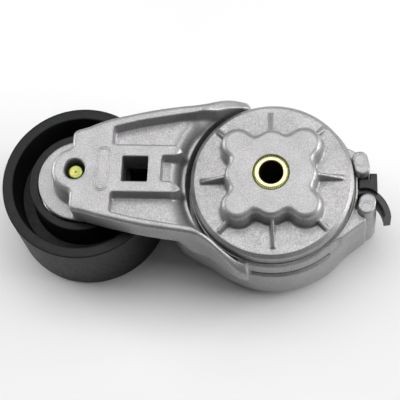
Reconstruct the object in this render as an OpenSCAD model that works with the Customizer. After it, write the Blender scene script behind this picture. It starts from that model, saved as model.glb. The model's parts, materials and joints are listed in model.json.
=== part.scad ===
// Belt tensioner with an idler pulley on a sprung arm. Millimetres.
// Origin: centre of the pivot bore at the mounting face. +Z points out of the mounting face.
// The arm reaches from the pivot along -X, and the belt runs round the pulley in planes of constant Z.

/* [Pivot] */
// Radius of the bore for the mounting bolt
bore_r = 5.9; // [5:0.1:6.5]
// Outer radius of the pressed pivot sleeve
sleeve_r = 9.1; // [8.6:0.1:9.4]
// Height of the lobed boss over the cap's flat face
boss_h = 11.6; // [8:0.1:14]
// Largest radius of the base cap
cap_r = 40.5; // [39:0.1:40.7]
// Radius of the base hub that the arm turns on
hub_r = 13; // [12.5:0.1:13.5]

/* [Arm] */
// Distance between the pivot axis and the pulley axis
centre_distance = 96.8; // [96:0.1:99]
// Height of the arm's top face over the mounting face
arm_top = 0.6; // [-1:0.1:1]
// Underside of the arm plate
arm_bottom = -17.3; // [-17.6:0.1:-17]
// Side of the square hole for a drive bar
drive_side = 12.9; // [9.7:0.1:12.9]
// Radius of the spring case's outer wall
case_r = 44.3; // [44:0.1:45]
// Radius of the spring chamber
chamber_r = 39.5; // [39.4:0.1:40]
// Level of the spring case's front edge
case_front = -57; // [-57.4:0.1:-56.6]

/* [Pulley] */
// Diameter of the belt track
pulley_d = 80; // [76:0.5:80]
// Width of the pulley
pulley_w = 43.4; // [43:0.1:43.6]
// Level of the pulley's rear rim
pulley_rear = -18.9; // [-19.2:0.1:-18.7]

/* [Spring] */
// Thickness of the spring strip
strip_t = 3.5; // [2.5:0.1:3.6]
// Width of the spring strip
strip_w = 14.8; // [12:0.1:15]
// Number of whole and part turns in the case
spring_turns = 4.25; // [4.25]

/* [Bearing] */
// Radius of a bearing ball
ball_r = 3.97; // [3.6:0.01:3.97]
// Number of balls in each of the two rows
ball_count = 9; // [7:1:10]

/* [Hidden] */
$fn = 96;
eps = 0.1;
gap = 0.3;
clear = 0.05;

cap_face = -boss_h;
cap_chamfer = 2.2;
skirt_bottom = -21.3;
skirt_t = 4;
cap_underside = -18;
hub_bottom = -58.2;
sleeve_bottom = -62.3;

lobe_turn = 2.7;
lobes = [[15.6, 15.9, 8.6], [-16.8, 15.2, 8], [-15.9, -16.3, 8], [17, -15.3, 8.1]];
small_lobes = [[16, 0.3], [-0.2, 16.3], [-16.5, -0.9], [0.4, -16.3]];
small_lobe_r = 6.2;
core_r = 20.4;
rib_w = 2;
rib_root = 9;
rib_reach = [37.5, 35.3];

lip_top = -20.3;
lip_r = 42.4;
lip_bore = 41.2;
lip_floor = -22.6;
slot_z = -30.5;
slot_h = 1.8;
lead_in_r = 5.2;
lead_in_floor = -12;
slot_from = -103;
slot_to = -50;
chamber_floor = -40;
floor_t = 6;
arm_hub_r = 22;
bush_r = 16.5;
shoulder_r = 46.8;
skirt_r = 48.3;
ramp_from = -38;
ramp_to = -9;
pocket_floor = -6.9;
post_top = -14;
upper_post = [43.75, 10.9];
lower_post = [46.85, -10.4];
post_r = [3.9, 4.15];
post_half = [2.2, 1.2];
post_turn = [103.5, 77.5];

axis_x = -centre_distance;
flange_r = 20.95;
flange_top = -15.96;
flange_bottom = -17.9;
bolt_end = -3.6;
bearing_rear = -23;
bearing_front = -51;
bearing_od_r = 23.5;
bearing_id_r = 10;
inner_land_r = 14.2;
outer_land_r = 19.3;
pitch_r = 16.75;
rows = [-30, -44];
pulley_r = pulley_d / 2;
pulley_front = pulley_rear - pulley_w;
rim_inner_r = 34.5;
pulley_hub_r = 25.7;
pulley_hub_rear = -18.4;
pulley_hub_front = -54;

strip_top = -23.2;
strip_bottom = strip_top - strip_w;
outer_coil_r = 36.6;
inner_coil_r = 15.25;
tail_centre = [45.85, -8.59];
tail_r = 8;
tail_turn = 26;
tail_length = 10.2;
entry_r = 10.75;
entry_turn = 166;
tab_bend = 2.3;
tab_length = 2.9;
coil_start = entry_turn - 180;
coil_end = coil_start - 360 * spring_turns;
coil_steps = 84;

stop_r = [26, 31];
stop_half = 5;
stop_ribs = [22.5, 112.5];
stop_play = 1.2;
arm_travel = 35;
plate_t = 2.5;
plate_top = -58.3;

function polar(r, a) = [r * cos(a), r * sin(a)];
function arc(c, r, a0, a1, n) = [for (i = [0:n]) c + polar(r, a0 + (a1 - a0) * i / n)];
function reversed(p) = [for (i = [len(p) - 1:-1:0]) p[i]];
function unit(v) = v / norm(v);
function heading(p, i) = unit(p[min(i + 1, len(p) - 1)] - p[max(i - 1, 0)]);
function beside(p, d) = [for (i = [0:len(p) - 1]) p[i] + d * [-heading(p, i)[1], heading(p, i)[0]]];
function smooth(t) = t <= 0 ? 0 : t >= 1 ? 1 : t * t * (3 - 2 * t);
function ramp(x) = arm_top - (arm_top - lip_top) * smooth((x - ramp_from) / (ramp_to - ramp_from));
function stadium(r, h) = concat(arc([h, 0], r, -90, 90, 14), arc([-h, 0], r, 90, 270, 14));

// Solid between two levels
module slab(low, high) {
    translate([0, 0, low]) linear_extrude(high - low) children();
}

// Round bar or tube between two levels
module tube(low, high, r, hole = 0) {
    translate([0, 0, low]) difference() {
        cylinder(h = high - low, r = r);
        if (hole > 0) translate([0, 0, -eps]) cylinder(h = high - low + 2 * eps, r = hole);
    }
}

// Sector of a disc
module sector(r, a0, a1) {
    polygon(concat([[0, 0]], arc([0, 0], r, a0, a1, 12)));
}

// ---- Fixed base ----

// Four large lobes and four small ones round a core, each where the casting has it
module boss_outline() {
    circle(r = core_r);
    for (lobe = lobes) translate([lobe[0], lobe[1]]) circle(r = lobe[2]);
    for (lobe = small_lobes) translate(lobe) circle(r = small_lobe_r);
}

// Triangular gusset from the boss wall out over the cap's face
module gusset(reach) {
    rotate([90, 0, 0]) linear_extrude(rib_w, center = true)
        polygon([[core_r - 1, cap_face - 1], [reach, cap_face - 1], [reach, cap_face + 0.8],
                 [core_r + 1.5, cap_face + rib_root], [core_r - 1, cap_face + rib_root]]);
}

module base_cap() {
    color([0.75, 0.74, 0.73]) difference() {
        union() {
            rotate_extrude() polygon([
                [hub_r - 2, cap_face], [cap_r - cap_chamfer, cap_face], [cap_r, cap_face - cap_chamfer],
                [cap_r, skirt_bottom], [cap_r - skirt_t, skirt_bottom], [cap_r - skirt_t, cap_underside],
                [hub_r - 2, cap_underside]]);
            slab(cap_face - 1, 0) boss_outline();
            slab(cap_underside, cap_face) circle(r = hub_r);
            for (k = [0:7]) rotate(lobe_turn + 45 * k) gusset(rib_reach[(k + 1) % 2]);
        }
        tube(cap_underside - eps, eps, sleeve_r);
    }
}

// Tube that the arm turns on, with a slot for the spring's inner tab
module base_hub() {
    tab_depth = 3.3;
    color([0.7, 0.69, 0.68]) difference() {
        tube(hub_bottom, cap_underside, hub_r, sleeve_r);
        rotate(coil_end) translate([hub_r - tab_depth, -tab_bend - strip_t / 2 - gap, strip_bottom - 1])
            cube([2 * tab_depth, strip_t + 2 * gap, cap_underside - strip_bottom + 2]);
    }
}

module pivot_sleeve() {
    edge = 0.6;
    ring_top = plate_top - plate_t;
    color([0.85, 0.82, 0.45]) difference() {
        rotate_extrude() polygon([
            [bore_r, 0], [sleeve_r - edge, 0], [sleeve_r, -edge],
            [sleeve_r, sleeve_bottom + edge], [sleeve_r - edge, sleeve_bottom], [bore_r, sleeve_bottom]]);
        difference() {
            tube(ring_top - 1.2, ring_top, sleeve_r + 1);
            tube(ring_top - 2, ring_top + 1, sleeve_r - 0.8);
        }
    }
}

module front_plate() {
    rest_edge = stop_ribs[1] - stop_half - stop_play;
    far_edge = stop_ribs[0] + stop_half + arm_travel + stop_play;
    color([0.55, 0.55, 0.57]) slab(plate_top - plate_t, plate_top) difference() {
        union() {
            circle(r = 24);
            sector(stop_r[1], far_edge, rest_edge);
        }
        circle(r = sleeve_r + clear);
    }
}

module retaining_ring() {
    ring_top = plate_top - plate_t;
    color([0.25, 0.25, 0.27]) slab(ring_top - 1.1, ring_top) difference() {
        circle(r = 11.6);
        circle(r = sleeve_r - 0.75);
        translate([0, -1.5]) square([14, 3]);
    }
}

// ---- Sprung arm ----

// The arm plate, seen from the mounting side
module plate_outline() {
    polygon(concat(
        arc([-94.8, 17.4], 4, 180, 105, 6),
        [[-80.6, 27.2], [-60.9, 31.8], [-46, 34.3], [-36.2, 35.5], [-31.2, 37.6], [-26.3, 40.8]],
        [[-21.4, 43.4], [-17, 44.8], [-14, 44.6], [-12.6, 43]],
        [polar(lip_r, 105.5), polar(lip_r, 180), polar(lip_r, 254)],
        [[-10.6, -46.2], [-13.4, -46.2], [-18, -43.6], [-23, -40], [-28, -36.6], [-33, -33.8]],
        [[-40, -32], [-60, -29.4]],
        arc([-94.2, -17.9], 4, 258, 180, 6)));
}

// Neck between the plate and the spring case, clear of the pulley
module neck_outline() {
    polygon([[-52, -18], [-46.5, -25.5], [-36, -31], [-20, -38], [-20, 39], [-36, 33], [-46.5, 27], [-52, 19]]);
}

module ear_outline() {
    polygon([[36, -10], [44.4, -12.4], [47.4, -16.8], [35.5, -26.8], [30, -28]]);
}

module posts() {
    centres = [upper_post, lower_post];
    for (k = [0, 1]) slab(case_front, post_top) translate(centres[k]) rotate(post_turn[k])
        polygon(stadium(post_r[k], post_half[k]));
    slab(case_front, lip_top) polygon([[35, 19], [37.4, 20.9], [43, 17.8], [42, 8], [39, 9]]);
    slab(case_front, strip_bottom - 1) polygon([[40, -10], [50.8, -9], [47.4, 11], [40, 11]]);
    slab(case_front, strip_top - 1) polygon([[40, -9], [51.6, -9], [51.6, -11.6], [44, -18.8], [40, -18]]);
}

module pulley_boss() {
    top_flat = 9.2;
    edge_r = 2.6;
    translate([axis_x, 0, 0]) {
        rotate_extrude() polygon(concat(
            [[0, flange_bottom], [13.2, flange_bottom], [top_flat + edge_r, arm_top - edge_r]],
            arc([top_flat, arm_top - edge_r], edge_r, 15, 90, 6), [[0, arm_top]]));
        tube(flange_bottom, flange_top, flange_r);
        tube(bearing_rear, flange_bottom + 1, 13.4);
    }
}

module pocket(outline) {
    slab(pocket_floor, arm_top + eps) polygon(outline);
}

module pockets() {
    pocket([[-78.8, 13.3], [-39, 13.3], [-30, 31], [-38, 30.6], [-46, 29.7], [-65.6, 25.8], [-78.8, 22.8]]);
    pocket([[-54, -5.5], [-39, -5.5], [-39, 7.5], [-54, 7.5]]);
    pocket([[-78.5, -11.8], [-39, -11.8], [-31, -29], [-38, -28.2], [-48, -27.2], [-67.5, -24.2], [-78.5, -21.8]]);
}

// Space swept by the fixed cap, with a ramp up to the arm's top face
module cap_recess() {
    rotate_extrude() polygon(concat(
        [[0, lip_top], [lip_r, lip_top], [lip_r + 0.8, -9]],
        arc([lip_r + 6.3, -5.5], 5.5, 180, 95, 8),
        [[lip_r + 7, arm_top + 2], [0, arm_top + 2]]));
}

// Everything over the top surface, which runs down from the arm to the spring case's edge
module above_top() {
    steps = 14;
    curve = [for (i = [0:steps]) let (x = ramp_from + (ramp_to - ramp_from) * i / steps) [x, ramp(x)]];
    translate([0, 60, 0]) rotate([90, 0, 0]) linear_extrude(120)
        polygon(concat(curve, [[60, lip_top], [60, 20], [ramp_from, 20]]));
}

module front_recess() {
    difference() {
        tube(case_front - eps, chamber_floor - floor_t, chamber_r, arm_hub_r);
        for (a = [22.5:45:359]) rotate(a) translate([0, -1.75, case_front - 1])
            cube([chamber_r + 1, 3.5, 20]);
    }
}

module stop_blocks() {
    for (a = stop_ribs) slab(plate_top - plate_t, case_front + 1) difference() {
        sector(stop_r[1], a - stop_half, a + stop_half);
        circle(r = stop_r[0] - 0.5);
    }
}

module arm_body() {
    difference() {
        union() {
            slab(arm_bottom, arm_top) plate_outline();
            slab(case_front, arm_bottom + 1) neck_outline();
            slab(slot_z - 10, arm_bottom + 1) intersection() {
                circle(r = skirt_r);
                plate_outline();
            }
            tube(case_front, slot_z, case_r);
            translate([0, 0, slot_z - eps]) cylinder(h = lip_top - slot_z + eps, r1 = lip_r + 0.6, r2 = lip_r);
            slab(case_front, lip_top) ear_outline();
        }
        above_top();
        cap_recess();
        pockets();
        translate([0, 0, slot_z]) difference() {
            linear_extrude(slot_h) sector(shoulder_r + 2, slot_from, slot_to);
            translate([0, 0, -eps]) cylinder(h = slot_h + 2 * eps, r = chamber_r + 1);
        }
    }
}

module arm_casting() {
    color([0.74, 0.73, 0.72]) {
        difference() {
            union() {
                arm_body();
                pulley_boss();
                posts();
            }
            tube(lip_floor - eps, lip_top + eps, lip_bore);
            tube(chamber_floor, lip_floor, chamber_r);
            tube(case_front - eps, chamber_floor + eps, bush_r);
            front_recess();
            translate([0, 0, strip_bottom - 0.6]) linear_extrude(lip_floor - strip_bottom + 0.3)
                polygon([[36, -7.2], [43.2, -7.2], [43.2, -5.4], [46, -3.6], [46, 4.6], [36, 4.6]]);
            translate([-66.9, 0.5, 0]) slab(arm_bottom - 1, arm_top + 1)
                square(drive_side, center = true);
            translate([axis_x, 0, 0]) tube(bearing_rear - eps, arm_top + eps, 4.3);
            translate([axis_x, 0, 0]) tube(lead_in_floor, arm_top + eps, lead_in_r);
            translate([axis_x, 0, arm_top - 0.8]) cylinder(h = 0.8 + eps, r1 = 4.3, r2 = 5.2);
        }
        stop_blocks();
    }
}

// Centre line of the strip: tail outside the case, bend into it, coils, tab in the hub
function tail_line() = let (start = tail_centre + polar(tail_r, tail_turn)) concat(
    [for (k = [2:-1:1]) start - k / 2 * tail_length * polar(1, tail_turn + 90)],
    arc(tail_centre, tail_r, tail_turn, 90, 8));
function entry_line() = let (c = tail_centre + [0, tail_r - entry_r]) arc(c, entry_r, 98, entry_turn - 6, 8);
function coil_line() = [for (i = [0:coil_steps]) let (t = i / coil_steps)
    polar(outer_coil_r + (inner_coil_r - outer_coil_r) * t, coil_start + (coil_end - coil_start) * t)];
function tab_line() = let (c = polar(inner_coil_r - tab_bend, coil_end)) concat(
    arc(c, tab_bend, coil_end - 15, coil_end - 90, 5),
    [c + polar(tab_bend, coil_end - 90) - polar(tab_length, coil_end)]);

module spiral_spring() {
    line = concat(tail_line(), entry_line(), coil_line(), tab_line());
    color([0.2, 0.2, 0.21]) slab(strip_bottom, strip_top)
        polygon(concat(beside(line, strip_t / 2), reversed(beside(line, -strip_t / 2))));
}

module damper_band() {
    color([0.16, 0.16, 0.17]) difference() {
        tube(chamber_floor + 0.2, strip_top + 0.2, chamber_r - 0.1, chamber_r - 0.9);
        translate([30, -10.6, chamber_floor - 1]) cube([20, 15.6, 30]);
    }
}

// Block that closes the window over the strip, between the two posts
module window_block() {
    neck = [[38.2, 2.2], [43.5, 2.2], [43.5, 4.3], [38.2, 4.3]];
    head = [[43, -4], [52.2, -4], [51.8, 7.5], [48, 7.5], [48.2, 4.4], [43, 4.4]];
    entry_centre = tail_centre + [0, tail_r - entry_r];
    outside = strip_t / 2 + 0.35;
    color([0.13, 0.13, 0.13]) difference() {
        union() {
            slab(strip_bottom, strip_top + 0.2) polygon(neck);
            slab(strip_bottom, -20) polygon(head);
        }
        translate(tail_centre) tube(strip_bottom - eps, -19, tail_r + 0.3);
        translate(tail_centre) tube(strip_bottom - eps, strip_top + gap, tail_r + outside);
        translate(entry_centre) tube(strip_bottom - eps, strip_top + gap, entry_r + outside);
        translate(upper_post) rotate(post_turn[0]) slab(strip_bottom - eps, 0)
            polygon(stadium(post_r[0] + 0.1, post_half[0]));
    }
}

module pivot_bushing() {
    color([0.72, 0.62, 0.35]) tube(case_front, chamber_floor, bush_r - 0.02, hub_r + 0.06);
}

module rear_thrust_washer() {
    color([0.85, 0.84, 0.78]) tube(lip_floor, skirt_bottom - gap, lip_bore - 0.2, cap_r - skirt_t);
}

module front_thrust_washer() {
    color([0.85, 0.84, 0.78]) tube(plate_top + gap, case_front, arm_hub_r, hub_r + gap);
}

// ---- Pulley axle and bearing ----

module pulley_bolt() {
    color([0.75, 0.76, 0.4]) translate([axis_x, 0, 0]) {
        rotate_extrude() polygon([
            [0, bolt_end], [3.7, bolt_end], [4.25, bolt_end - 0.8], [4.25, bearing_rear], [5, bearing_rear - 1],
            [5, -53.3], [11, -53.3], [11, -54.3], [9.5, -55.3], [0, -55.3]]);
        translate([0, 0, -61.8]) cylinder(h = 7, r = 15 / sqrt(3), $fn = 6);
    }
}

module bearing_spacer() {
    color([0.6, 0.6, 0.62]) translate([axis_x, 0, 0]) {
        tube(bearing_front, bearing_rear, bearing_id_r - 0.02, 5.1);
        tube(bearing_front - 0.8, bearing_front, 13.2, 5.1);
    }
}

module front_dust_shield() {
    color([0.5, 0.5, 0.52]) translate([axis_x, 0, 0]) tube(-53.3, bearing_front - 0.8, 20.8, 5.1);
}

module raceways(extra) {
    for (z = rows) rotate_extrude() translate([pitch_r, z]) circle(r = ball_r + extra);
}

module bearing_inner_ring() {
    color([0.66, 0.67, 0.69]) translate([axis_x, 0, 0]) difference() {
        tube(bearing_front, bearing_rear, inner_land_r, bearing_id_r);
        raceways(clear);
    }
}

module bearing_outer_ring() {
    color([0.66, 0.67, 0.69]) translate([axis_x, 0, 0]) difference() {
        tube(bearing_front, bearing_rear, bearing_od_r, outer_land_r);
        raceways(clear);
    }
}

module ball_places() {
    for (row = [0, 1]) for (k = [0:ball_count - 1])
        rotate((k + row / 2) * 360 / ball_count) translate([pitch_r, 0, rows[row]]) children();
}

module bearing_balls() {
    color([0.8, 0.81, 0.83]) translate([axis_x, 0, 0]) ball_places() sphere(r = ball_r, $fn = 48);
}

module bearing_cage() {
    color([0.32, 0.24, 0.14]) translate([axis_x, 0, 0]) difference() {
        tube(-47.6, -26.4, 17.9, 15.6);
        ball_places() sphere(r = ball_r + 0.12, $fn = 48);
    }
}

module bearing_seal(low) {
    color([0.12, 0.12, 0.12]) translate([axis_x, 0, 0]) tube(low, low + 1.2, outer_land_r, inner_land_r + 0.08);
}

module bearing_seal_rear() { bearing_seal(bearing_rear - 1.4); }
module bearing_seal_front() { bearing_seal(bearing_front + 0.2); }

module bearing_snap_ring() {
    color([0.25, 0.25, 0.27]) translate([axis_x, 0, 0]) slab(bearing_front - 1.2, bearing_front) difference() {
        circle(r = 24.3);
        circle(r = 21.8);
        translate([-26, -3]) square([10, 6]);
    }
}

module pulley() {
    edge = 0.8;
    color([0.17, 0.17, 0.18]) translate([axis_x, 0, 0]) rotate_extrude() polygon([
        [21.3, pulley_hub_rear - edge], [21.3 + edge, pulley_hub_rear], [pulley_hub_r - edge, pulley_hub_rear],
        [pulley_hub_r, pulley_hub_rear - edge], [pulley_hub_r + 1, -38], [33, -38], [33, -28],
        [rim_inner_r, -27], [rim_inner_r, pulley_rear - edge], [rim_inner_r + edge, pulley_rear],
        [pulley_r - edge, pulley_rear], [pulley_r, pulley_rear - edge], [pulley_r, pulley_front + edge],
        [pulley_r - edge, pulley_front], [rim_inner_r + edge, pulley_front],
        [rim_inner_r, pulley_front + edge], [rim_inner_r - 1, -43], [pulley_hub_r + 1, -43],
        [pulley_hub_r, pulley_hub_front], [bearing_od_r, pulley_hub_front],
        [bearing_od_r, bearing_front - 1.3], [24.4, bearing_front - 1.3], [24.4, bearing_front],
        [bearing_od_r, bearing_front], [bearing_od_r, bearing_rear], [21.3, bearing_rear]]);
}

base_cap();
base_hub();
pivot_sleeve();
front_plate();
retaining_ring();
arm_casting();
spiral_spring();
damper_band();
window_block();
pivot_bushing();
rear_thrust_washer();
front_thrust_washer();
pulley_bolt();
bearing_spacer();
front_dust_shield();
bearing_inner_ring();
bearing_outer_ring();
bearing_balls();
bearing_cage();
bearing_seal_rear();
bearing_seal_front();
bearing_snap_ring();
pulley();
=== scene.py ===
import json
import math
from functools import reduce

import bmesh
import bpy
import numpy as np
import openvdb
from mathutils import Euler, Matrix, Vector


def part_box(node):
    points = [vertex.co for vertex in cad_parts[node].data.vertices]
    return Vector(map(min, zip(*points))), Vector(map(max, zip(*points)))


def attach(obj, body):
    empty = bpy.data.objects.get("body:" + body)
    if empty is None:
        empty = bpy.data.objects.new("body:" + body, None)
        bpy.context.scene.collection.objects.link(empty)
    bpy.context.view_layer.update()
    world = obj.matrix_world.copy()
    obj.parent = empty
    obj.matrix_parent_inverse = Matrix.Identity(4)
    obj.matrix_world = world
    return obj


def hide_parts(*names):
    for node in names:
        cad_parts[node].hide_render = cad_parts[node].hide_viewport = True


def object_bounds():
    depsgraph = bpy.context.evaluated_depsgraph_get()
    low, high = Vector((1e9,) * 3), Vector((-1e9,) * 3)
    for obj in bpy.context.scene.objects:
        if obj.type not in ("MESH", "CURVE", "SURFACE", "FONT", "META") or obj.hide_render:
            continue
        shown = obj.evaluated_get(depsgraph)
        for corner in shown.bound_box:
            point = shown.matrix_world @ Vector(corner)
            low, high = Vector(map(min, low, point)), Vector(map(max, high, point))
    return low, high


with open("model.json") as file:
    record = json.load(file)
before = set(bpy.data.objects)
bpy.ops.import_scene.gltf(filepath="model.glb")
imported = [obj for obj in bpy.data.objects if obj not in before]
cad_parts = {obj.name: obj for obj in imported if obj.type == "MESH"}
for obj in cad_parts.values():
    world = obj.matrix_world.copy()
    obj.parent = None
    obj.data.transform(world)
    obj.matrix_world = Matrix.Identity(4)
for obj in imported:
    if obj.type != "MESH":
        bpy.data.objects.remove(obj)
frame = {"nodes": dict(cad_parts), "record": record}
CAD_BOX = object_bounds()

# Shapes are worked out in millimetres and made in metres.
MM = 0.001


def box_mm(node):
    low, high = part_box(node)
    return np.array(low) / MM, np.array(high) / MM


# ---- Places and sizes that come from the frame ----

CAP_LOW, CAP_HIGH = box_mm("base_cap")
ARM_LOW, ARM_HIGH = box_mm("arm_casting")
SLEEVE_LOW, SLEEVE_HIGH = box_mm("pivot_sleeve")
PULLEY_LOW, PULLEY_HIGH = box_mm("pulley")
SPRING_LOW, SPRING_HIGH = box_mm("spiral_spring")
BEARING_LOW, BEARING_HIGH = box_mm("bearing_outer_ring")
BLOCK_LOW, BLOCK_HIGH = box_mm("window_block")
PLATE_LOW, PLATE_HIGH = box_mm("front_plate")
RING_BOTTOM = box_mm("retaining_ring")[0][2]
BOLT_LOW, BOLT_HIGH = box_mm("pulley_bolt")

AXIS_X = (PULLEY_LOW[0] + PULLEY_HIGH[0]) / 2
CAP_R = (CAP_HIGH[0] - CAP_LOW[0]) / 2
SLEEVE_R = (SLEEVE_HIGH[0] - SLEEVE_LOW[0]) / 2
PULLEY_R = (PULLEY_HIGH[0] - PULLEY_LOW[0]) / 2
BORE_R = [m for m in frame["record"]["mounts"] if m["name"] == "pivot_bore"][0]["dims"]["r_mm"]
ARM_TOP = ARM_HIGH[2]
CASE_FRONT = -57.0

# Faces that meet at more than this angle, in degrees, show a crisp edge.
CRISP = 35


# ---- Signed distances on a grid: negative inside ----

class Grid:
    """A box of sample points, with one thin array for each axis."""

    def __init__(self, low, high, step):
        self.low = np.array(low, float) - 3 * step
        self.step = step
        counts = np.ceil((np.array(high) + 3 * step - self.low) / step).astype(int) + 1
        lines = [(self.low[k] + step * np.arange(counts[k])).astype(np.float32) for k in range(3)]
        self.x, self.y, self.z = lines[0][:, None, None], lines[1][None, :, None], lines[2][None, None, :]


def joined(a, b, fillet):
    """Both shapes, with a fillet where they meet."""
    u, v = np.maximum(fillet - a, 0), np.maximum(fillet - b, 0)
    return np.maximum(fillet, np.minimum(a, b)) - np.hypot(u, v)


def common(a, b, edge):
    """What both shapes share, with rounded edges."""
    u, v = np.maximum(edge + a, 0), np.maximum(edge + b, 0)
    return np.minimum(-edge, np.maximum(a, b)) + np.hypot(u, v)


def without(a, b, edge):
    """The first shape less the second, with rounded edges."""
    return common(a, -b, edge)


def either(shapes):
    """All the shapes, with a plain edge where they meet."""
    return reduce(np.minimum, shapes)


def disc(x, y, centre, r):
    return np.hypot(x - centre[0], y - centre[1]) - r


def bar(x, y, a, b, r):
    """A stroke of half-width r from a to b."""
    ex, ey = b[0] - a[0], b[1] - a[1]
    t = np.clip(((x - a[0]) * ex + (y - a[1]) * ey) / (ex * ex + ey * ey), 0, 1)
    return np.hypot(x - a[0] - t * ex, y - a[1] - t * ey) - r


def outline(x, y, points):
    """Signed distance to a closed polygon."""
    shape = np.broadcast(x, y).shape
    d, inside = np.full(shape, 1e6, np.float32), np.zeros(shape, bool)
    for (ax, ay), (bx, by) in zip(points, points[1:] + points[:1]):
        d = np.minimum(d, bar(x, y, (ax, ay), (bx, by), 0))
        if ay != by:
            inside ^= ((ay > y) != (by > y)) & (x < (bx - ax) * (y - ay) / (by - ay) + ax)
    return np.where(inside, -d, d).astype(np.float32)


def slab(d, z, low, high, edge):
    """An outline's distance carried from one level to another, with rounded edges."""
    return common(d, np.maximum(low - z, z - high), edge)


def turned(grid, r, profile):
    """Signed distance to a closed profile of (radius, level) points turned round an axis."""
    fine = 0.1
    radii = np.arange(0, float(r.max()) + 1, fine, np.float32)
    table = outline(radii[:, None], grid.z.reshape(1, -1), profile)
    place = r.reshape(-1) / fine
    row = place.astype(int)
    part = (place - row)[:, None].astype(np.float32)
    found = table[row] * (1 - part) + table[row + 1] * part
    return found.reshape(r.shape[0], r.shape[1], -1)


def polar(r, degrees, centre=(0, 0)):
    a = math.radians(degrees)
    return (centre[0] + r * math.cos(a), centre[1] + r * math.sin(a))


def arc(centre, r, start, end, steps):
    return [polar(r, start + (end - start) * k / steps, centre) for k in range(steps + 1)]


def smooth(t):
    t = np.clip(t, 0, 1)
    return t * t * (3 - 2 * t)


def spline(points, steps=5):
    """An open smooth curve through the points."""
    ends = [points[0]] + list(points) + [points[-1]]
    made = []
    for a, b, c, d in zip(ends, ends[1:], ends[2:], ends[3:]):
        for k in range(steps):
            t = k / steps
            made.append(tuple(
                0.5 * (2 * b[i] + (c[i] - a[i]) * t + (2 * a[i] - 5 * b[i] + 4 * c[i] - d[i]) * t * t
                       + (3 * b[i] - a[i] - 3 * c[i] + d[i]) * t ** 3) for i in (0, 1)))
    return made + [tuple(points[-1])]


# ---- Meshes ----

def to_object(name, vertices, faces, crisp=CRISP):
    mesh = bpy.data.meshes.new(name)
    mesh.from_pydata(vertices, [], faces)
    mesh.validate()
    mesh.shade_smooth()
    if crisp:
        mesh.set_sharp_from_angle(angle=math.radians(crisp))
    mesh.update()
    piece = bpy.data.objects.new(name, mesh)
    bpy.context.scene.collection.objects.link(piece)
    return piece


def skin(name, grid, distance):
    """A mesh of the surface where the distance is zero."""
    volume = openvdb.FloatGrid(background=3 * grid.step)
    volume.copyFromArray(np.ascontiguousarray(distance, np.float32))
    points, triangles, quads = volume.convertToPolygons(isovalue=0.0, adaptivity=0.0)
    places = (points * grid.step + grid.low) * MM
    faces = [f[::-1].tolist() for f in quads] + [f[::-1].tolist() for f in triangles]
    return to_object(name, places.tolist(), faces, crisp=0)


def rounded(profile, radius, steps=4):
    """A profile with its corners rounded, apart from those on the axis."""
    made = []
    for k, corner in enumerate(profile):
        p, c, n = (np.array(q, float) for q in (profile[k - 1], corner, profile[(k + 1) % len(profile)]))
        if c[0] < 1e-6 or radius <= 0:
            made.append(tuple(c))
            continue
        to_p, to_n = p - c, n - c
        reach = min(radius, 0.45 * np.linalg.norm(to_p), 0.45 * np.linalg.norm(to_n))
        a, b = c + to_p / np.linalg.norm(to_p) * reach, c + to_n / np.linalg.norm(to_n) * reach
        for s in range(steps + 1):
            t = s / steps
            made.append(tuple((1 - t) ** 2 * a + 2 * t * (1 - t) * c + t * t * b))
    return made


def lathe(name, profile, centre=(0, 0), radius=0.4, around=144):
    """A closed profile of (radius, level) points turned into a ring,
    or into a solid where it starts on the axis."""
    points = rounded(profile, radius)
    rings = [k for k, (r, _) in enumerate(points) if r > 1e-6]
    vertices, place = [], {}
    for k, (r, z) in enumerate(points):
        place[k] = len(vertices)
        for s in range(around if k in rings else 1):
            a = 2 * math.pi * s / around
            x, y = centre[0] + r * math.cos(a), centre[1] + r * math.sin(a)
            vertices.append((x * MM, y * MM, z * MM))
    faces = []
    for k in range(len(points)):
        n = (k + 1) % len(points)
        for s in range(around):
            t = (s + 1) % around
            a = [place[k] + s, place[k] + t] if k in rings else [place[k]]
            b = [place[n] + t, place[n] + s] if n in rings else [place[n]]
            if len(a) + len(b) > 2:
                faces.append(a + b)
    piece = to_object(name, vertices, faces)
    turn_outward(piece)
    return piece


def turn_outward(piece):
    """Faces that all look out of the piece."""
    work = bmesh.new()
    work.from_mesh(piece.data)
    bmesh.ops.recalc_face_normals(work, faces=work.faces)
    work.to_mesh(piece.data)
    work.free()
    piece.data.set_sharp_from_angle(angle=math.radians(CRISP))


# ---- Base cap ----

GUSSET_TURN = 2.7

# Each lobe's place and radius: four large ones, then four small ones.
LOBES = [(15.6, 15.9, 9.1), (-16.8, 15.2, 8.7), (-15.9, -16.3, 8.5), (17, -15.3, 8.6),
         (16, 0.3, 6.5), (-0.2, 16.3, 6.5), (-16.5, -0.9, 6.5), (0.4, -16.3, 6.5)]


def boss_outline(x, y):
    core_r, neck = 20.5, 4.0
    d = disc(x, y, (0, 0), core_r)
    for lobe_x, lobe_y, lobe_r in LOBES:
        d = joined(d, disc(x, y, (lobe_x, lobe_y), lobe_r), neck)
    return d


def gussets(x, y, z, face):
    """Eight thin ribs that run down from the boss to the cap's face."""
    reach, root, tip, half, core = (37.5, 35.3), 9.2, 1.1, 1.15, 20.0
    draft, top_edge, end_edge = 0.05, 0.6, 0.5
    ribs = []
    for k in range(8):
        turn = math.radians(GUSSET_TURN + 45 * k)
        along = x * math.cos(turn) + y * math.sin(turn)
        across = np.abs(-x * math.sin(turn) + y * math.cos(turn))
        end = reach[(k + 1) % 2]
        slope = (root - tip) / (end - core)
        top = (z - face - tip - slope * (end - along)) / math.hypot(1, slope)
        sides = across - half + draft * (z - face)
        rib = common(common(sides, top, top_edge), core - 4 - along, 0.1)
        ribs.append(common(rib, along - end, end_edge))
    return np.maximum(either(ribs), face - 2 - z)


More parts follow.
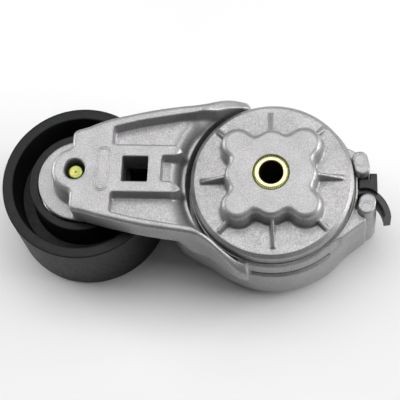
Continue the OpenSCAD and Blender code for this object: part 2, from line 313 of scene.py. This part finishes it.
def cast_marks(x, y, z):
    """Three short raised lines on the boss's flat top."""
    half_width, rise = 0.35, 0.1
    ends = [((-12.5, 12.2), (-9.6, 15.4)), ((-14.6, -10.6), (-10.8, -14.8)), ((12.6, -13.8), (15.6, -11.2))]
    return either([slab(bar(x, y, a, b, half_width), z, -2, rise, rise) for a, b in ends])


def base_cap():
    face, chamfer, skirt_t, underside = -11.6, 1.9, 4.0, -18.0
    top_inset, draft, top_edge, foot_fillet = 0.6, 0.09, 3.1, 1.2
    skirt_bottom = CAP_LOW[2]
    g = Grid(CAP_LOW, CAP_HIGH, 0.4)
    x, y, z = g.x, g.y, g.z
    r = np.hypot(x, y)
    cap = turned(g, r, [
        (0, face), (CAP_R - chamfer, face), (CAP_R, face - chamfer), (CAP_R, skirt_bottom),
        (CAP_R - skirt_t, skirt_bottom), (CAP_R - skirt_t, underside), (0, underside)])
    boss = (boss_outline(x, y) + top_inset + draft * z) / math.hypot(1, draft)
    boss = common(boss, z, top_edge)
    cap = joined(cap, np.maximum(boss, face - 2 - z), foot_fillet)
    cap = joined(cap, gussets(x, y, z, face), 0.8)
    cap = joined(cap, cast_marks(x, y, z), 0.2)
    cap = without(cap, r - SLEEVE_R + 0.02, 0.25)
    return skin("lobed_cap", g, cap)


# ---- Sprung arm ----

LIP_TOP, LIP_R, LIP_BORE, LIP_FLOOR = -20.3, 42.4, 41.2, -22.6
ARM_BOTTOM, SHOULDER_FOOT, CHAMBER_R, CHAMBER_FLOOR = -17.3, -33.0, 39.5, -40.0
GAP_FLOOR, GAP_TOP = -34.0, -9.0
STRIP_BOTTOM = SPRING_LOW[2]
GAP_R = LIP_R + 0.8
UPPER_POST, LOWER_POST = (43.75, 10.9), (46.85, -10.4)


def plate_outline(x, y):
    upper = spline([(-91, 22.8), (-80.6, 27.0), (-60.9, 31.8), (-46, 34.3), (-36.2, 35.5), (-31.2, 37.5),
                    (-26.3, 40.7), (-21.4, 43.3), (-17, 44.5), (-13.8, 44.5), (-12.4, 42.4)], 3)
    lower = spline([(-10.5, -42), (-10.5, -45.5), (-13.4, -45.8), (-18, -43.6), (-23, -40), (-28, -36.6),
                    (-33, -33.8), (-40, -32), (-60, -29.4), (-80, -25.4), (-93, -22)], 3)
    left = arc((-94.6, -17.9), 4, 258, 180, 6) + arc((-94.8, 17.4), 4, 180, 108, 6)
    return outline(x, y, left + upper + [polar(30, 100), polar(30, 180), polar(30, 260)] + lower)


def top_level(x, y):
    """Level of the arm's top surface, which runs down from the plate to the spring case."""
    start = np.where(y > 0, -36.4, -38)
    return ARM_TOP - (ARM_TOP - LIP_TOP) * smooth((x - start) / 29)


def arm_plate(x, y, z):
    slope = 0.7 * smooth((x + 38) / 10)
    rolled = np.where(y < 0, 0.6, 0.35) * smooth((x + 36) / 20) * np.maximum(np.hypot(x, y) - 43.6, 0)
    top = (z - top_level(x, y) + rolled) / np.hypot(1, slope)
    foot = ARM_BOTTOM - (ARM_BOTTOM - SHOULDER_FOOT) * smooth((x + 46) / 8)
    return common(plate_outline(x, y), np.maximum(top, foot - z), 2.1)


def pockets(x, y, z):
    """Three pockets, whose floors roll down into the gap behind the cap."""
    level, corner, draft, fillet, roll = -6.9, 1.8, 0.03, 0.9, 12.0
    near = np.clip((GAP_R + roll - np.hypot(x, y)) / roll, 0, 0.98)
    upright = np.sqrt(1 - near * near)
    floor = level - roll * (1 - upright)
    shapes = [
        [(-76.9, 15.2), (-41, 15.2), (-26, 32.2), (-38, 28.8), (-46, 27.6), (-65.6, 24), (-76.9, 20.9)],
        [(-52.2, -3.7), (-34, -3.7), (-34, 5.7), (-52.2, 5.7)],
        [(-76.6, -13.6), (-41, -13.6), (-26, -32.2), (-38, -26.6), (-48, -25.4), (-67.5, -22.4),
         (-76.6, -20)]]
    depth = (floor - z) * upright
    return either([common(outline(x, y, points) - corner - draft * z, depth, fillet) for points in shapes])


def recess(g, r):
    """Space over the fixed cap."""
    return turned(g, r, [(0, LIP_TOP), (LIP_R, LIP_TOP), (GAP_R, GAP_TOP), (GAP_R, 20), (0, 20)])


def boss_and_flange(g):
    r = np.hypot(g.x - AXIS_X, g.y)
    top_flat, edge_r = 9.2, 2.6
    boss = turned(g, r, [(0, -18.5), (13.4, -18.5), (top_flat + edge_r, ARM_TOP - edge_r)]
                  + arc((top_flat, ARM_TOP - edge_r), edge_r, 15, 90, 6) + [(0, ARM_TOP)])
    flange = turned(g, r, rounded([(0, -15.96), (20.95, -15.96), (20.95, -17.9), (13.4, -17.9),
                                   (13.4, BEARING_HIGH[2]), (0, BEARING_HIGH[2])], 0.4))
    return joined(boss, flange, 1.2)


def neck(x, y, z):
    shape = outline(x, y, [(-52, -18), (-46.5, -25.5), (-36, -31), (-20, -38), (-20, 39), (-36, 33),
                           (-46.5, 27), (-52, 19)])
    return slab(shape, z, CASE_FRONT, ARM_BOTTOM + 2, 1.5)


def spring_case(g, r):
    case_r, shoulder = 44.3, (43.0, -30.2)
    profile = [(0, LIP_TOP), (LIP_R, LIP_TOP), shoulder, (case_r, -31.4), (case_r, CASE_FRONT),
               (0, CASE_FRONT)]
    return turned(g, r, rounded(profile, 0.6))


def upper_post(x, y, r):
    return bar(x, y, polar(2.2, 103.5, UPPER_POST), polar(2.2, 283.5, UPPER_POST), r)


def lower_post(x, y, r):
    return bar(x, y, polar(1.2, 77.5, LOWER_POST), polar(1.2, 257.5, LOWER_POST), r)


def posts(x, y, z):
    """The two posts with the webs that carry them, and a fine ring in each post's end."""
    top, ring_r, ring_depth = -14.0, 3.1, 0.35
    both = slab(np.minimum(upper_post(x, y, 3.9), lower_post(x, y, 4.15)), z, CASE_FRONT, top, 0.9)
    web = outline(x, y, [(35, 19), (37.4, 20.9), (43, 17.8), (42, 8), (39, 9)])
    web = slab(web, z, CASE_FRONT, LIP_TOP, 0.6)
    foot = outline(x, y, [(40, -10), (50.8, -9), (47.4, 11), (40, 11)])
    foot = slab(foot, z, CASE_FRONT, STRIP_BOTTOM - 1, 0.8)
    root = outline(x, y, [(38, -9), (51.6, -9), (51.6, -11.6), (50.6, -12.9), (42, -21), (38, -20)])
    root = slab(root, z, CASE_FRONT, SPRING_HIGH[2] - 1, 1.2)
    foot = joined(foot, root, 1.0)
    for centre in ((43.2, 12.4), (46.6, -12.7)):
        ring = np.abs(disc(x, y, centre, ring_r)) - 0.25
        both = without(both, common(ring, top - ring_depth - z, 0.1), 0.1)
    return joined(joined(both, web, 0.8), foot, 1.0)


def ear(x, y, z):
    shape = outline(x, y, [(36, -10), (43.6, -12.6), (45.6, -17), (34.5, -26), (30, -27)]) - 0.9
    return slab(shape, z, CASE_FRONT, LIP_TOP, 1.0)


def front_recess(x, y, z, r):
    """Recess in the case's front side, with eight ribs left standing."""
    half, draft, hub_r, floor = 1.5, 0.04, 22, -46
    ribs = []
    for k in range(8):
        a = math.radians(22.5 + 45 * k)
        across = np.abs(-x * math.sin(a) + y * math.cos(a)) - half + draft * (z - CASE_FRONT)
        ribs.append(common(across, -(x * math.cos(a) + y * math.sin(a)), 0.1))
    hollow = common(common(r - CHAMBER_R, hub_r - r, 1.0), z - floor, 1.0)
    return without(hollow, either(ribs), 0.8)


def drive_hole(x, y):
    centre, half, corner = (-66.9, 0.5), 6.45, 0.7
    return common(np.abs(x - centre[0]) - half, np.abs(y - centre[1]) - half, corner)


def bolt_hole(x, y, z):
    """Hole through the bolt boss, with a wider lead-in at the top."""
    r, lead_in = 4.3, 0.9
    return disc(x, y, (AXIS_X, 0), r + lead_in * smooth((z + 12) / 3))


def cap_gap(x, z, r):
    """Deep gap between the fixed cap and the arm plate."""
    ring = np.maximum(r - GAP_R, LIP_BORE - 0.4 - r)
    return slab(np.maximum(ring, x + 16), z, GAP_FLOOR, GAP_TOP, 0)


def tail_window(x, y, z):
    """Window in the case's wall where the strip comes out."""
    shape = outline(x, y, [(36, -7.2), (43.2, -7.2), (43.2, -5.4), (46, -3.6), (46, 4.6), (36, 4.6)])
    return slab(shape, z, STRIP_BOTTOM - 0.6, LIP_FLOOR - 0.3, 0)


def case_slot(x, y, z, r):
    """Thin slot that runs part of the way round the case."""
    level, half, start, end, mm_per_degree = -29.6, 0.9, -103, -48, 0.7
    ring = np.maximum(np.maximum(np.abs(z - level) - half, 38.6 - r), r - 48)
    angle = np.degrees(np.arctan2(y, x))
    return np.maximum(ring, np.maximum(angle - end, start - angle) * mm_per_degree)


def pad_groove(x, y, z):
    """Fine groove round the bare pad beside the drive hole."""
    half, depth = 0.4, 0.3
    edge = np.abs(bar(x, y, (-82.6, 8.6), (-83.4, -8.0), 2.8)) - half
    return common(edge, ARM_TOP - depth - z, 0.1)


def arm_solid(g, r):
    """The arm before its holes and hollows are cut."""
    x, y, z = g.x, g.y, g.z
    rolled_edge = 1.0 + 7.0 * smooth((-33 - x) / 8)
    plate = without(arm_plate(x, y, z), pockets(x, y, z), 0.8)
    plate = without(plate, recess(g, r), rolled_edge)
    plate = np.maximum(joined(plate, boss_and_flange(g), 1.6), z - ARM_TOP)
    case = joined(spring_case(g, r), ear(x, y, z), 1.0)
    case = joined(case, neck(x, y, z), 2.5)
    return np.minimum(joined(plate, case, 1.6), posts(x, y, z))


def arm_casting():
    """The arm without its two stop blocks, which only the CAD has."""
    g = Grid(ARM_LOW, ARM_HIGH, 0.45)
    x, y, z = g.x, g.y, g.z
    r = np.hypot(x, y)
    bush_r, above, below = 16.5, 10, -80
    body = without(arm_solid(g, r), drive_hole(x, y), 0.4)
    body = without(body, bolt_hole(x, y, z), 0.9)
    body = without(body, cap_gap(x, z, r), 0.3)
    for hole_r, floor in ((LIP_BORE, LIP_FLOOR), (CHAMBER_R, CHAMBER_FLOOR), (bush_r, below)):
        body = without(body, slab(r - hole_r, z, floor, above, 0), 0.3)
    body = without(body, front_recess(x, y, z, r), 0.6)
    body = without(body, tail_window(x, y, z), 0.2)
    body = without(body, case_slot(x, y, z, r), 0.1)
    body = without(body, pad_groove(x, y, z), 0.2)
    return skin("arm_body", g, body)


# ---- Spring ----

def spring_line():
    """Centre line of the strip: tail, bend into the case, coils, tab in the hub."""
    tail_centre, tail_r, tail_turn, free_r, free_turn = (45.85, -8.59), 8.0, 52.0, 17.3, 45.0
    entry_r, entry_turn, outer_r, inner_r, turns = 10.75, 166.0, 36.6, 15.25, 4.25
    tab_bend, tab_length = 2.3, 2.9
    free_centre = polar(tail_r - free_r, tail_turn, tail_centre)
    line = arc(free_centre, free_r, tail_turn - free_turn, tail_turn, 12)[:-1]
    line += arc(tail_centre, tail_r, tail_turn, 90, 14)
    line += arc((tail_centre[0], tail_centre[1] + tail_r - entry_r), entry_r, 98, entry_turn - 6, 14)
    coil_start = entry_turn - 180
    coil_end = coil_start - 360 * turns
    steps = 300
    for k in range(steps + 1):
        t = k / steps
        line.append(polar(outer_r + (inner_r - outer_r) * t, coil_start + (coil_end - coil_start) * t))
    bend = polar(inner_r - tab_bend, coil_end)
    line += arc(bend, tab_bend, coil_end - 15, coil_end - 90, 6)
    line.append(polar(-tab_length, coil_end, polar(tab_bend, coil_end - 90, bend)))
    return line


def strip_section(half_t, half_w, corner, steps=3):
    section = []
    for cx, cz, start in ((1, 1, 0), (-1, 1, 90), (-1, -1, 180), (1, -1, 270)):
        for k in range(steps + 1):
            a = math.radians(start + 90 * k / steps)
            section.append((cx * (half_t - corner) + corner * math.cos(a),
                            cz * (half_w - corner) + corner * math.sin(a)))
    return section


def spiral_spring():
    line = np.array(spring_line())
    heading = np.gradient(line, axis=0)
    heading /= np.linalg.norm(heading, axis=1)[:, None]
    side = np.stack([-heading[:, 1], heading[:, 0]], 1)
    width = SPRING_HIGH[2] - SPRING_LOW[2]
    section = strip_section(3.5 / 2, width / 2, 0.7)
    middle = (SPRING_HIGH[2] + SPRING_LOW[2]) / 2
    n = len(section)
    vertices = []
    for p, s in zip(line, side):
        vertices += [((p[0] + s[0] * a) * MM, (p[1] + s[1] * a) * MM, (middle + b) * MM) for a, b in section]
    faces = [list(range(n))[::-1], [(len(line) - 1) * n + k for k in range(n)]]
    for i in range(len(line) - 1):
        for k in range(n):
            j = (k + 1) % n
            faces.append([i * n + k, i * n + j, (i + 1) * n + j, (i + 1) * n + k])
    piece = to_object("spring_strip", vertices, faces)
    turn_outward(piece)
    return piece


# ---- Small parts ----

# The sleeve's bright face reaches this far out, in millimetres.
FACE_R = 7.9


def window_block():
    """Block over the strip in the case's window, hollowed where the strip and the post pass."""
    g = Grid(BLOCK_LOW, BLOCK_HIGH, 0.25)
    x, y, z = g.x, g.y, g.z
    neck_d = slab(outline(x, y, [(38.2, 2.2), (43.5, 2.2), (43.5, 4.3), (38.2, 4.3)]), z,
                  STRIP_BOTTOM, BLOCK_HIGH[2] - 3, 0.2)
    head = outline(x, y, [(43, -4), (52.2, -4), (51.8, 7.5), (48, 7.5), (48.2, 4.4), (43, 4.4)])
    body = joined(neck_d, slab(head, z, STRIP_BOTTOM, BLOCK_HIGH[2], 0.5), 0.3)
    tail, entry, below, over_strip = (45.85, -8.59), (45.85, -11.34), -60, SPRING_HIGH[2] + 0.3
    for centre, r, top in ((tail, 8.3, 0), (tail, 10.1, over_strip), (entry, 12.85, over_strip)):
        body = without(body, slab(disc(x, y, centre, r), z, below, top, 0), 0.3)
    return skin("window_plug", g, without(body, upper_post(x, y, 4.0), 0.2))


def pivot_sleeve():
    """Sleeve with a knurled end, a step round its face and a groove for the retaining ring."""
    g = Grid(SLEEVE_LOW, SLEEVE_HIGH, 0.22)
    x, y, z = g.x, g.y, g.z
    r = np.hypot(x, y)
    top, bottom = SLEEVE_HIGH[2], SLEEVE_LOW[2]
    teeth, depth, knurl_length, knurl_foot = 54, 1.2, 9.0, 7.4
    step_depth, groove, half_groove, groove_depth, chamfer = 0.5, RING_BOTTOM, 0.6, 0.8, 0.7
    angle = np.arctan2(y, x)
    wave = 0.5 - 0.5 * np.cos(teeth * angle)
    body = common(r - SLEEVE_R, np.maximum(z - top, bottom - z), 0.45)
    body = body + np.where(z > top - knurl_length, depth * wave * smooth((r - knurl_foot) / 1.2), 0)
    body = np.maximum(body, -common(FACE_R - r, top - step_depth - z, 0.2))
    ring = common(np.abs(z - groove - half_groove) - half_groove, SLEEVE_R - groove_depth - r, 0)
    body = without(body, ring, 0.1)
    bore = BORE_R + 0.5 * (np.maximum(z - top + chamfer, 0) + np.maximum(bottom + chamfer - z, 0))
    body = without(body, r - bore, 0.2)
    return skin("plated_sleeve", g, body)


def front_plate():
    """Plate with a sector tab, which turns between the two stop blocks of the CAD's arm."""
    g = Grid(PLATE_LOW, PLATE_HIGH, 0.35)
    x, y, z = g.x, g.y, g.z
    r = np.hypot(x, y)
    disc_r, tab_r, tab_from, tab_to = 24, 31, 67.2, 106.3
    sector = outline(x, y, [(0, 0)] + arc((0, 0), 2 * tab_r, tab_from, tab_to, 6))
    shape = joined(r - disc_r, common(sector, r - tab_r, 1.0), 1.5)
    body = without(slab(shape, z, PLATE_LOW[2], PLATE_HIGH[2], 0.45), r - SLEEVE_R - 0.1, 0.3)
    return skin("thrust_plate", g, body)


def pulley():
    """Smooth belt track and hub, joined by a web halfway along."""
    edge, hub_rear, hub_front, hub_r, lip_r = 0.8, -18.4, -54.0, 25.7, 21.3
    rear, front, rim = PULLEY_HIGH[2] - 0.5, PULLEY_LOW[2], 34.5
    web_rear, web_front, web_r = -38, -43, 33
    outer = BEARING_HIGH[2]
    bore = (BEARING_HIGH[0] - BEARING_LOW[0]) / 2
    return lathe("idler_pulley", [
        (lip_r, hub_rear), (hub_r, hub_rear), (hub_r + 1, web_rear), (web_r, web_rear), (rim, rear),
        (PULLEY_R, rear), (PULLEY_R, front), (rim, front), (rim - 1, web_front), (hub_r + 1, web_front),
        (hub_r, hub_front), (bore, hub_front), (bore, outer), (lip_r, outer)], (AXIS_X, 0), edge)


def bolt_head(x, y, z, r):
    """Hexagon with its outer corners turned off."""
    half_across, top, corner_r = 7.5, -55, 8.6
    turns = [math.radians(60 * k) for k in range(3)]
    sides = [np.abs(x * math.cos(a) + y * math.sin(a)) - half_across for a in turns]
    hexagon = reduce(lambda a, b: common(a, b, 0.3), sides)
    crown = (r - corner_r - (z - BOLT_LOW[2]) * 1.7) / 2
    return common(slab(hexagon, z, BOLT_LOW[2], top, 0.3), crown, 0.3)


def pulley_bolt():
    """Flanged bolt whose end, with a centre mark, shows in the arm's boss."""
    g = Grid(BOLT_LOW, BOLT_HIGH, 0.3)
    x, y, z = g.x - AXIS_X, g.y, g.z
    r = np.hypot(x, y)
    end, end_r, thread_r, neck_r, shank_r = BOLT_HIGH[2], 3.3, 3.75, 4.2, 5
    flange_r, flange_top, flange_foot = 11, -53.3, -55.6
    body = turned(g, r, [
        (0, end), (end_r, end), (thread_r, end - 0.5), (thread_r, -12), (neck_r, -13),
        (neck_r, BEARING_HIGH[2]), (shank_r, BEARING_HIGH[2] - 1), (shank_r, flange_top),
        (flange_r, flange_top), (flange_r, flange_top - 1), (flange_r - 2, flange_foot), (0, flange_foot)])
    body = joined(body, bolt_head(x, y, z, r), 0.8)
    centre_mark = np.sqrt(r * r + (z - end) ** 2) - 0.35
    return skin("pulley_screw", g, without(body, centre_mark, 0.05))


# ---- Materials ----

class Nodes:
    """Short calls for making a material's nodes."""

    def __init__(self, name):
        self.material = bpy.data.materials.new(name)
        self.material.use_nodes = True
        self.tree = self.material.node_tree
        self.shader = self.tree.nodes["Principled BSDF"]
        self.place = self.tree.nodes.new("ShaderNodeTexCoord").outputs["Object"]

    def link(self, a, b):
        self.tree.links.new(a, b)

    def noise(self, scale, detail=2, roughness=0.5, stretch=None):
        node = self.tree.nodes.new("ShaderNodeTexNoise")
        node.inputs["Scale"].default_value = scale
        node.inputs["Detail"].default_value = detail
        node.inputs["Roughness"].default_value = roughness
        place = self.place
        if stretch:
            mapping = self.tree.nodes.new("ShaderNodeMapping")
            mapping.inputs["Scale"].default_value = stretch
            self.link(place, mapping.inputs["Vector"])
            place = mapping.outputs["Vector"]
        self.link(place, node.inputs["Vector"])
        return node.outputs["Fac"]

    def ramp(self, value, stops):
        node = self.tree.nodes.new("ShaderNodeValToRGB")
        elements = node.color_ramp.elements
        while len(elements) < len(stops):
            elements.new(0.5)
        for element, (at, colour) in zip(elements, stops):
            element.position = at
            element.color = (*colour, 1) if len(colour) == 3 else colour
        self.link(value, node.inputs["Fac"])
        return node.outputs["Color"]

    def range(self, value, low, high, start=0.3, end=0.7):
        node = self.tree.nodes.new("ShaderNodeMapRange")
        node.inputs["From Min"].default_value = start
        node.inputs["From Max"].default_value = end
        node.inputs["To Min"].default_value = low
        node.inputs["To Max"].default_value = high
        self.link(value, node.inputs["Value"])
        return node.outputs["Result"]

    def bump(self, height, strength, distance, normal=None):
        node = self.tree.nodes.new("ShaderNodeBump")
        node.inputs["Strength"].default_value = strength
        node.inputs["Distance"].default_value = distance
        self.link(height, node.inputs["Height"])
        if normal is not None:
            self.link(normal, node.inputs["Normal"])
        return node.outputs["Normal"]

    def finish(self, colour, roughness, normal, metallic=0.0, specular=0.5):
        self.link(colour, self.shader.inputs["Base Color"])
        self.link(roughness, self.shader.inputs["Roughness"])
        self.link(normal, self.shader.inputs["Normal"])
        self.shader.inputs["Metallic"].default_value = metallic
        self.shader.inputs["Specular IOR Level"].default_value = specular
        return self.material


def grey(v):
    return (v, v, v)


def cast_aluminium():
    """Fine bright grain over broad soft patches."""
    n = Nodes("cast_aluminium")
    grain = n.noise(1500, 3, 0.7)
    patches = n.noise(90, 3, 0.6)
    mixed = n.tree.nodes.new("ShaderNodeMath")
    mixed.operation = "MULTIPLY_ADD"
    mixed.inputs[1].default_value = 0.35
    n.link(patches, mixed.inputs[0])
    n.link(grain, mixed.inputs[2])
    stops = [(0.35, (0.24, 0.236, 0.239)), (0.62, (0.34, 0.335, 0.339)), (0.9, (0.50, 0.49, 0.50))]
    colour = n.ramp(mixed.outputs["Value"], stops)
    normal = n.bump(n.noise(1100, 3, 0.7), 0.25, 0.0001)
    normal = n.bump(n.noise(220, 2), 0.15, 0.0003, normal)
    return n.finish(colour, n.range(grain, 0.56, 0.38), normal, 0.65)


def zinc_plate():
    """Yellow plating with green and orange patches."""
    n = Nodes("yellow_zinc_steel")
    film = n.noise(260, 3, 0.6)
    orange, olive = (0.42, 0.24, 0.06), (0.34, 0.30, 0.09)
    green, rust = (0.20, 0.29, 0.07), (0.44, 0.20, 0.07)
    colour = n.ramp(film, [(0.3, orange), (0.42, olive), (0.55, green), (0.68, rust)])
    normal = n.bump(n.noise(1500, 2), 0.2, 0.0001)
    return n.finish(colour, n.range(film, 0.22, 0.4), normal, 0.9)


def sleeve_zinc():
    """Bright yellow face, green knurl and painted shade on the bore's wall, by distance from the pivot axis.
    """
    n = Nodes("plated_sleeve")
    flat = n.tree.nodes.new("ShaderNodeVectorMath")
    flat.operation = "MULTIPLY"
    flat.inputs[1].default_value = (1, 1, 0)
    n.link(n.place, flat.inputs[0])
    length = n.tree.nodes.new("ShaderNodeVectorMath")
    length.operation = "LENGTH"
    n.link(flat.outputs["Vector"], length.inputs[0])
    film = n.noise(420, 2, 0.5)
    inner, outer = BORE_R - 1, SLEEVE_R + 1
    place = n.range(length.outputs["Value"], 0, 1, inner * MM, outer * MM)
    face_in, face_out = ((r - inner) / (outer - inner) for r in (BORE_R + 0.25, FACE_R + 0.05))
    # dark is painted shade: the bore's wall is drawn near black for the shade inside the hole.
    dark, amber, pale, yellow, green = ((0.03, 0.018, 0.006), (0.80, 0.62, 0.20), (0.92, 0.88, 0.52),
                                        (0.90, 0.88, 0.45), (0.60, 0.66, 0.20))
    colour = n.ramp(place, [(face_in - 0.05, dark), (face_in, amber), (face_in + 0.06, pale),
                            (face_out - 0.05, yellow), (face_out, green)])
    normal = n.bump(n.noise(1500, 2), 0.2, 0.0001)
    return n.finish(colour, n.range(film, 0.3, 0.45), normal, 0.6)


def satin(name, dark, light, scale, roughness, bump, metallic=0.0, stretch=None, specular=0.5):
    """A plain finish with a mottled colour and a fine grain, which stretch can draw out into turned marks."""
    n = Nodes(name)
    colour = n.ramp(n.noise(scale, 4, 0.6, stretch), [(0.3, dark), (0.7, light)])
    normal = n.bump(n.noise(scale * 4, 3, 0.6, stretch), bump, 0.0001)
    return n.finish(colour, n.range(n.noise(scale * 2, 3), *roughness), normal, metallic, specular)


def materials():
    turned_marks, brushed = (1, 1, 14), (1, 1, 6)
    bronze, bronze_light = (0.42, 0.27, 0.10), (0.58, 0.40, 0.17)
    ivory, ivory_light = (0.66, 0.65, 0.58), (0.76, 0.75, 0.68)
    brown, brown_light = (0.09, 0.055, 0.025), (0.14, 0.09, 0.045)
    coal, coal_light = (0.0085, 0.009, 0.0095), (0.0125, 0.013, 0.0135)
    made = {"cast_aluminium": cast_aluminium(), "yellow_zinc_steel": zinc_plate()}
    for name, *look in (
            ("bare_steel", grey(0.36), grey(0.52), 300, (0.28, 0.42), 0.15, 1.0, turned_marks),
            ("black_steel", grey(0.03), grey(0.06), 350, (0.38, 0.55), 0.2, 0.4),
            ("black_nylon", grey(0.012), grey(0.022), 400, (0.5, 0.65), 0.25),
            ("bronze_bushing", bronze, bronze_light, 900, (0.35, 0.5), 0.3, 1.0),
            ("white_nylon", ivory, ivory_light, 300, (0.4, 0.5), 0.1),
            ("bearing_steel", grey(0.5), grey(0.62), 500, (0.12, 0.22), 0.05, 1.0, turned_marks),
            ("brown_nylon", brown, brown_light, 300, (0.4, 0.55), 0.15),
            ("seal_rubber", grey(0.012), grey(0.02), 500, (0.55, 0.7), 0.2),
            ("black_pulley", coal, coal_light, 260, (0.40, 0.54), 0.12, 0.0, brushed, 0.22)):
        made[name] = satin(name, *look)
    return made


# ---- Assembly ----

def dress(piece, body, slot, *nodes, finish=None):
    """The piece rides on a body, stands for these CAD nodes and takes its finish from a slot."""
    piece.data.materials.append(finish or FINISHES[slot])
    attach(piece, body)
    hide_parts(*nodes)


def finish_cad_nodes():
    """Every CAD node that still shows gets its slot's material."""
    for part in frame["record"]["subparts"]:
        node = frame["nodes"][part["node"]]
        node.data.materials.clear()
        node.data.materials.append(FINISHES[part["material_slot"]])


FINISHES = materials()
finish_cad_nodes()
dress(base_cap(), "base", "cast_aluminium", "base_cap")
dress(pivot_sleeve(), "base", "yellow_zinc_steel", "pivot_sleeve", finish=sleeve_zinc())
dress(front_plate(), "base", "bare_steel", "front_plate")
dress(arm_casting(), "arm", "cast_aluminium", "arm_casting")
dress(spiral_spring(), "arm", "black_steel", "spiral_spring")
dress(window_block(), "arm", "black_nylon", "window_block")
dress(pulley_bolt(), "arm", "yellow_zinc_steel", "pulley_bolt")
dress(pulley(), "pulley", "black_pulley", "pulley")


# ---- Floor, lights and camera ----

def studio_floor():
    half, clearance = 3.0, 0.0002
    mesh = bpy.data.meshes.new("floor")
    z = CAD_BOX[0][2] - clearance
    corners = [(-half, -half, z), (half, -half, z), (half, half, z), (-half, half, z)]
    mesh.from_pydata(corners, [], [(0, 1, 2, 3)])
    floor = bpy.data.objects.new("floor", mesh)
    bpy.context.scene.collection.objects.link(floor)
    n = Nodes("pale_floor")
    colour = n.ramp(n.noise(3, 2), [(0.3, grey(0.86)), (0.7, grey(0.90))])
    n.finish(colour, n.range(n.noise(40, 2), 0.55, 0.65), n.bump(n.noise(400, 2), 0.02, 0.0001), 0.0, 0.3)
    floor.data.materials.append(n.material)


def soft_light(name, place, size, power, target=(-0.03, 0, -0.03)):
    lamp = bpy.data.lights.new(name, "AREA")
    lamp.shape = "RECTANGLE"
    lamp.size, lamp.size_y = size
    lamp.energy = power
    holder = bpy.data.objects.new(name, lamp)
    holder.location = place
    holder.rotation_euler = (Vector(target) - Vector(place)).to_track_quat("-Z", "Y").to_euler()
    bpy.context.scene.collection.objects.link(holder)


def studio_world():
    """Dim from below and from the front, brighter from above and behind."""
    world = bpy.data.worlds.new("studio")
    world.use_nodes = True
    tree = world.node_tree
    direction = tree.nodes.new("ShaderNodeTexCoord").outputs["Generated"]
    facing = tree.nodes.new("ShaderNodeVectorMath")
    facing.operation = "DOT_PRODUCT"
    facing.inputs[1].default_value = (0, 0.7, 0.7)
    ramp = tree.nodes.new("ShaderNodeValToRGB")
    ramp.color_ramp.elements[0].color = (0.05, 0.05, 0.051, 1)
    ramp.color_ramp.elements[1].color = (0.30, 0.30, 0.305, 1)
    tree.links.new(direction, facing.inputs[0])
    tree.links.new(facing.outputs["Value"], ramp.inputs["Fac"])
    tree.links.new(ramp.outputs["Color"], tree.nodes["Background"].inputs["Color"])
    bpy.context.scene.world = world
    bpy.context.scene.view_settings.view_transform = "Standard"


def photo_camera():
    data = bpy.data.cameras.new("camera")
    data.lens = 132.889
    data.sensor_width = 36
    camera = bpy.data.objects.new("camera", data)
    camera.location = (0.032957, -0.252632, 0.671875)
    camera.rotation_euler = Euler([math.radians(a) for a in (19.622, 4.748, 2.664)], "XYZ")
    bpy.context.scene.collection.objects.link(camera)
    bpy.context.scene.camera = camera


studio_floor()
studio_world()
soft_light("overhead_light", (0.0, 0.34, 1.25), (1.5, 0.9), 12)
soft_light("right_light", (0.9, 0.1, 0.3), (0.6, 0.35), 7)
soft_light("left_light", (-0.9, 0.3, 0.3), (0.6, 0.35), 5)
photo_camera()
